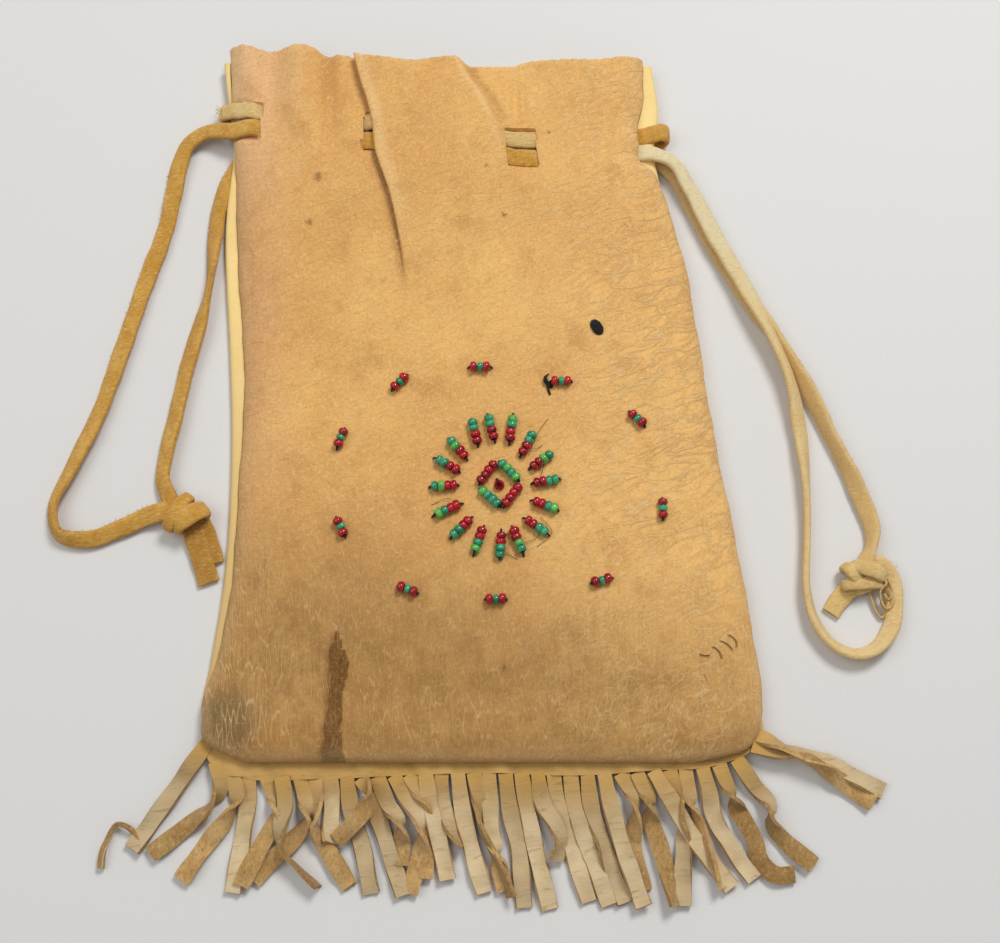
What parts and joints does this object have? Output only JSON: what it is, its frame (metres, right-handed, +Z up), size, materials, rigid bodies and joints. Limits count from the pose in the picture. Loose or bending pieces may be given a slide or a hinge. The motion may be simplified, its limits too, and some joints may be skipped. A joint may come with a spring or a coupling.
{
  "type": "beaded drawstring pouch",
  "caption": "Soft hide pouch with a fringed foot, laced drawstring mouth and sewn bead ornament, lying on its back.",
  "frame": {"origin": "middle of the pouch and fringe on the table that the pouch lies on, without the free drawstring loops", "axes": "+Y towards the mouth, +X to the right seen from the beaded front, +Z up out of the beaded front"},
  "size_m": [0.2339, 0.2432, 0.016],
  "materials": {
    "front_hide": "worn grain side of tanned hide, golden tan, browner at the foot",
    "back_hide": "pale yellow tanned hide",
    "fringe_hide": "pale grain side and ochre suede side, cut strips",
    "ochre_thong": "suede side out, fuzzy",
    "pale_thong": "smooth pale thong with worn edges",
    "red_glass": "opaque glossy glass",
    "green_glass": "opaque glossy glass",
    "sewing_thread": "black twisted thread"
  },
  "bodies": {
    "root": {"back_panel": "back_hide", "centre_bead": "red_glass", "diamond_side_1": "red_glass", "diamond_side_2": "green_glass", "diamond_side_3": "red_glass", "diamond_side_4": "green_glass", "drawstring_left_back_leg": "ochre_thong", "drawstring_left_front_leg": "ochre_thong", "drawstring_left_knot": "ochre_thong", "drawstring_left_lacing": "ochre_thong", "drawstring_right_back_leg": "pale_thong", "drawstring_right_front_leg": "pale_thong", "drawstring_right_knot": "pale_thong", "drawstring_right_lacing": "pale_thong", "fringe": "fringe_hide", "front_panel": "front_hide", "petal_01": "green_glass", "petal_02": "green_glass", "petal_03": "green_glass", "petal_04": "green_glass", "petal_05": "green_glass", "petal_06": "green_glass", "petal_07": "green_glass", "petal_08": "green_glass", "petal_09": "green_glass", "petal_10": "green_glass", "petal_11": "green_glass", "petal_12": "green_glass", "petal_13": "green_glass", "petal_14": "green_glass", "petal_15": "green_glass", "petal_16": "green_glass", "triple_01": "red_glass", "triple_02": "red_glass", "triple_03": "red_glass", "triple_04": "red_glass", "triple_05": "red_glass", "triple_06": "red_glass", "triple_07": "red_glass", "triple_08": "red_glass", "triple_09": "red_glass", "triple_10": "red_glass"}
  },
  "joints": []
}
